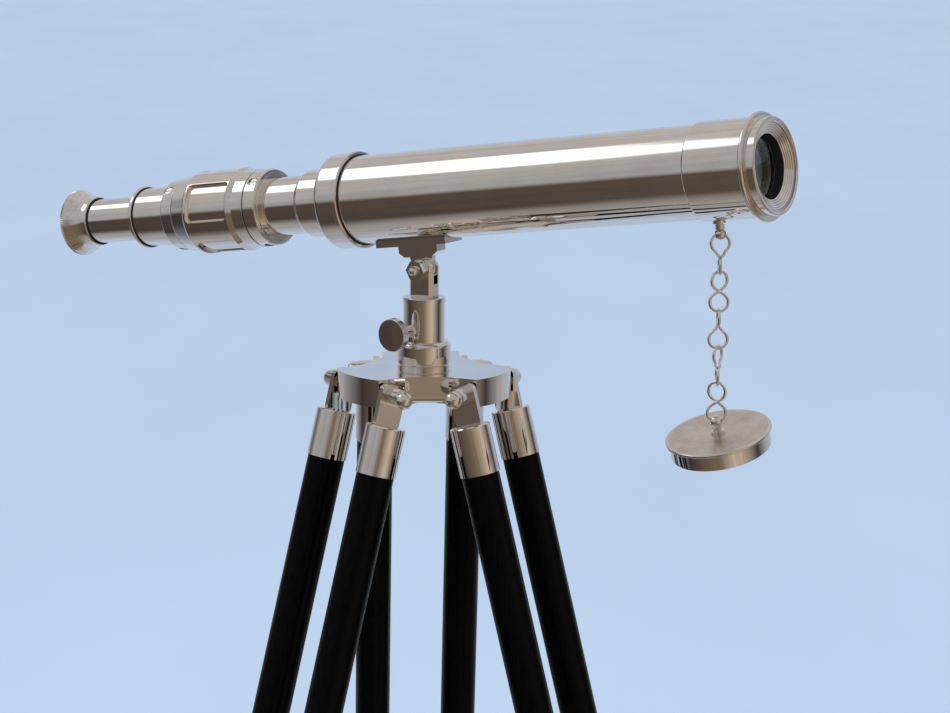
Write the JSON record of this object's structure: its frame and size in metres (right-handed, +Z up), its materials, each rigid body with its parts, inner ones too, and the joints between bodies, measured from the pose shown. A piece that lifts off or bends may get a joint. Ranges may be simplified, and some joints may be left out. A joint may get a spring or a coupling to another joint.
{
  "type": "telescope on folding tripod",
  "caption": "Nickel-plated refracting telescope with focusing draw tube and chained lens lid, on a swivelling tilting head and folding tripod with black wooden legs.",
  "frame": {"origin": "centre of the footprint box, on the floor the feet stand on", "axes": "+Z up, +Y towards the back leg, +X to the right of the two front legs; the objective points 36.3 degrees from +X towards -Y and 8.2 degrees up"},
  "size_m": [0.587, 0.5398, 1.2676],
  "materials": {
    "bright_nickel": "mirror polished nickel plate over brass",
    "satin_lid": "satin turned nickel plate",
    "blackened_metal": "matt black inside finish",
    "bare_brass": "turned, unplated",
    "optical_glass": "polished lens",
    "lacquered_wood": "high gloss black lacquer",
    "rubber_foot": "plain moulded"
  },
  "bodies": {
    "tripod_head": {"tripod_hub": "bright_nickel", "pillar_socket": "bright_nickel", "pillar_bolt": "bright_nickel", "leg_pivot_bolts": "bright_nickel", "leg_pivot_nuts": "bright_nickel"},
    "azimuth_screw": {"azimuth_lock_screw": "bright_nickel"},
    "swivel": {"swivel_post": "bright_nickel", "altitude_bolt": "bright_nickel", "altitude_nut": "bright_nickel"},
    "telescope": {"saddle_bracket": "bright_nickel", "saddle_plate": "bright_nickel", "tube_screws": "bright_nickel", "main_barrel": "bright_nickel", "objective_sleeve": "bright_nickel", "objective_cell": "bright_nickel", "objective_retaining_ring": "bright_nickel", "crown_lens": "optical_glass", "flint_lens": "optical_glass", "barrel_baffles": "blackened_metal", "rear_cap": "bright_nickel", "rear_collar": "bright_nickel", "draw_guide_bush": "bare_brass", "chain_stud": "bright_nickel"},
    "draw": {"draw_tube": "bright_nickel", "focus_end_ring": "bright_nickel", "focus_housing": "bright_nickel", "focus_screws": "bright_nickel"},
    "grip": {"focus_grip": "bright_nickel"},
    "eyepiece": {"eyepiece_sleeve": "bright_nickel", "eye_tube": "bright_nickel", "eye_cup": "bright_nickel", "eye_lens": "optical_glass", "field_lens": "optical_glass", "eyepiece_spacer": "blackened_metal", "eyepiece_retaining_ring": "blackened_metal"},
    "lid": {"lens_lid": "satin_lid", "lid_knob": "bright_nickel"},
    "link_1": {"chain_link_1": "bright_nickel"},
    "link_2": {"chain_link_2": "bright_nickel"},
    "link_3": {"chain_link_3": "bright_nickel"},
    "link_4": {"chain_link_4": "bright_nickel"},
    "link_5": {"chain_link_5": "bright_nickel"},
    "right_leg": {"right_leg_rods": "lacquered_wood", "right_leg_ferrules": "bright_nickel", "right_leg_clamp": "bright_nickel"},
    "right_lower_leg": {"right_lower_rod": "lacquered_wood", "right_foot": "rubber_foot"},
    "right_clamp_screw": {"right_clamp_screw": "bright_nickel"},
    "left_leg": {"left_leg_rods": "lacquered_wood", "left_leg_ferrules": "bright_nickel", "left_leg_clamp": "bright_nickel"},
    "left_lower_leg": {"left_lower_rod": "lacquered_wood", "left_foot": "rubber_foot"},
    "left_clamp_screw": {"left_clamp_screw": "bright_nickel"},
    "back_leg": {"back_leg_rods": "lacquered_wood", "back_leg_ferrules": "bright_nickel", "back_leg_clamp": "bright_nickel"},
    "back_lower_leg": {"back_lower_rod": "lacquered_wood", "back_foot": "rubber_foot"},
    "back_clamp_screw": {"back_clamp_screw": "bright_nickel"}
  },
  "joints": [
    {"name": "azimuth", "type": "hinge", "parent": "tripod_head", "child": "swivel", "pos_m": [0.00341, -0.06258, 1.05], "axis": [0, 0, 1], "continuous": true},
    {"name": "azimuth_screw_turn", "type": "hinge", "parent": "tripod_head", "child": "azimuth_screw", "pos_m": [0.00341, -0.06258, 1.08], "axis": [-0.6626, -0.749, 0], "range_deg": [-30, 330]},
    {"name": "altitude", "type": "hinge", "parent": "swivel", "child": "telescope", "pos_m": [0.00341, -0.06258, 1.1273], "axis": [-0.592, -0.8059, 0], "range_deg": [-25, 30]},
    {"name": "draw_slide", "type": "slide", "parent": "telescope", "child": "draw", "axis": [-0.7977, 0.586, -0.1426], "range_m": [-0.034, 0.1]},
    {"name": "grip_turn", "type": "hinge", "parent": "draw", "child": "grip", "pos_m": [-0.14815, 0.04875, 1.1585], "axis": [0.7977, -0.586, 0.1426], "range_deg": [-345, 135]},
    {"name": "eyepiece_slide", "type": "slide", "parent": "draw", "child": "eyepiece", "axis": [-0.7977, 0.586, -0.1426], "range_m": [-0.0295, 0.012]},
    {"name": "link_1_swing", "type": "hinge", "parent": "telescope", "child": "link_1", "pos_m": [0.21148, -0.21542, 1.17623], "axis": [0.9976, -0.0698, 0], "range_deg": [-20, 20]},
    {"name": "link_2_swing", "type": "hinge", "parent": "link_1", "child": "link_2", "pos_m": [0.21148, -0.21542, 1.14643], "axis": [0.0698, 0.9976, 0], "range_deg": [-20, 20]},
    {"name": "link_3_swing", "type": "hinge", "parent": "link_2", "child": "link_3", "pos_m": [0.21148, -0.21542, 1.11893], "axis": [0.9976, -0.0698, 0], "range_deg": [-20, 20]},
    {"name": "link_4_swing", "type": "hinge", "parent": "link_3", "child": "link_4", "pos_m": [0.21148, -0.21542, 1.09143], "axis": [0.9976, -0.0698, 0], "range_deg": [-20, 20]},
    {"name": "link_5_swing", "type": "hinge", "parent": "link_4", "child": "link_5", "pos_m": [0.21148, -0.21542, 1.06393], "axis": [0.0698, 0.9976, 0], "range_deg": [-20, 20]},
    {"name": "lid_swing", "type": "hinge", "parent": "link_5", "child": "lid", "pos_m": [0.21148, -0.21542, 1.03643], "axis": [0.9976, -0.0698, 0], "range_deg": [-20, 20]},
    {"name": "right_leg_spread", "type": "hinge", "parent": "tripod_head", "child": "right_leg", "pos_m": [0.04879, -0.08878, 1.0371], "axis": [-0.5, -0.866, 0], "range_deg": [-14, 12]},
    {"name": "right_leg_slide", "type": "slide", "parent": "right_leg", "child": "right_lower_leg", "axis": [0.2168, -0.1252, -0.9681], "range_m": [-0.38, 0.015]},
    {"name": "right_clamp_screw_turn", "type": "hinge", "parent": "right_leg", "child": "right_clamp_screw", "pos_m": [0.16534, -0.15607, 0.51672], "axis": [0.8384, -0.4841, 0.2504], "range_deg": [-30, 330]},
    {"name": "left_leg_spread", "type": "hinge", "parent": "tripod_head", "child": "left_leg", "pos_m": [-0.04197, -0.08878, 1.0371], "axis": [-0.5, 0.866, 0], "range_deg": [-14, 12]},
    {"name": "left_leg_slide", "type": "slide", "parent": "left_leg", "child": "left_lower_leg", "axis": [-0.2168, -0.1252, -0.9681], "range_m": [-0.38, 0.015]},
    {"name": "left_clamp_screw_turn", "type": "hinge", "parent": "left_leg", "child": "left_clamp_screw", "pos_m": [-0.15852, -0.15607, 0.51672], "axis": [-0.8384, -0.4841, 0.2504], "range_deg": [-30, 330]},
    {"name": "back_leg_spread", "type": "hinge", "parent": "tripod_head", "child": "back_leg", "pos_m": [0.00341, -0.01018, 1.0371], "axis": [1, 0, 0], "range_deg": [-14, 12]},
    {"name": "back_leg_slide", "type": "slide", "parent": "back_leg", "child": "back_lower_leg", "axis": [0, 0.2504, -0.9681], "range_m": [-0.38, 0.015]},
    {"name": "back_clamp_screw_turn", "type": "hinge", "parent": "back_leg", "child": "back_clamp_screw", "pos_m": [0.00341, 0.1244, 0.51672], "axis": [0, 0.9681, 0.2504], "range_deg": [-30, 330]}
  ],
  "couplings": [
    {"joint": "eyepiece_slide", "follows": "grip_turn", "m_per_rad": 0.0048}
  ]
}
